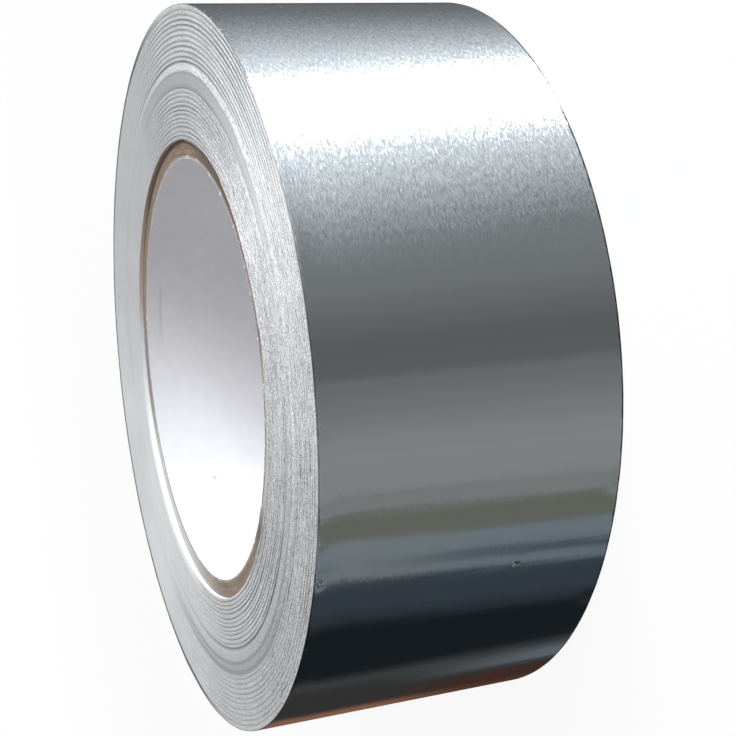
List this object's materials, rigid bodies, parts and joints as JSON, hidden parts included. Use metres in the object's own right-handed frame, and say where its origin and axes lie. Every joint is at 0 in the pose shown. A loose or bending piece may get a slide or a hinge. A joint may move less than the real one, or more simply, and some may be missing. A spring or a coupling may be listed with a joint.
{
  "type": "roll of aluminium foil tape",
  "caption": "Roll of aluminium foil tape wound on a board core with a white lined bore, for sealing and patching metal and ducts.",
  "frame": {"origin": "on the roll's axis, in the plane of the end face that the roll stands on", "axes": "+Z along the roll's axis, up from the end that it stands on; +Y towards the free end of the tape, which is at the back"},
  "size_m": [0.1291, 0.1292, 0.05],
  "materials": {
    "foil_tape": "satin rolled foil outside, pale slit edges of foil and release paper on the ends",
    "kraft_board": "plain cut board",
    "white_paper": "smooth, slightly glossy"
  },
  "bodies": {
    "root": {"tape_roll": "foil_tape", "core_tube": "kraft_board", "core_lining": "white_paper"}
  },
  "joints": []
}
